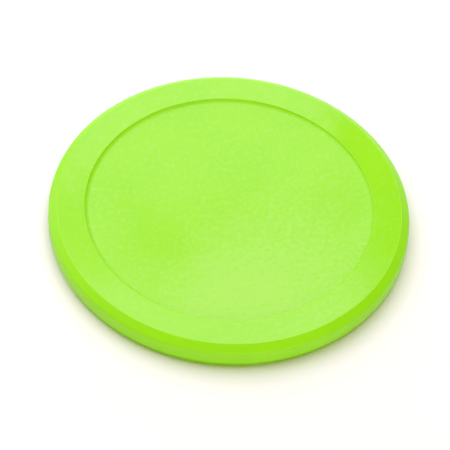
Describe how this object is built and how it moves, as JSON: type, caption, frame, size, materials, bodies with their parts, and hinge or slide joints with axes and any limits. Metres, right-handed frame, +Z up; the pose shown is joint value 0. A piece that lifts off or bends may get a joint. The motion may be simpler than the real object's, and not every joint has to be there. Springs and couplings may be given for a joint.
{
  "type": "air hockey puck",
  "caption": "Flat round table-game puck moulded in lime-green plastic, with a chamfered upper edge, a bevelled lower edge and a shallow round recess in each face.",
  "frame": {"origin": "centre of the underside, on the puck's axis and in the plane of the rim that it rests on", "axes": "+Z up along the puck's axis, through its thickness; X and Y lie in the plane of the rim and may point any way, since the puck is round"},
  "size_m": [0.0636, 0.0636, 0.0048],
  "materials": {
    "lime_plastic": "lime green, satin as moulded, with a fine grain in the recesses"
  },
  "bodies": {
    "root": {"puck": "lime_plastic"}
  },
  "joints": []
}
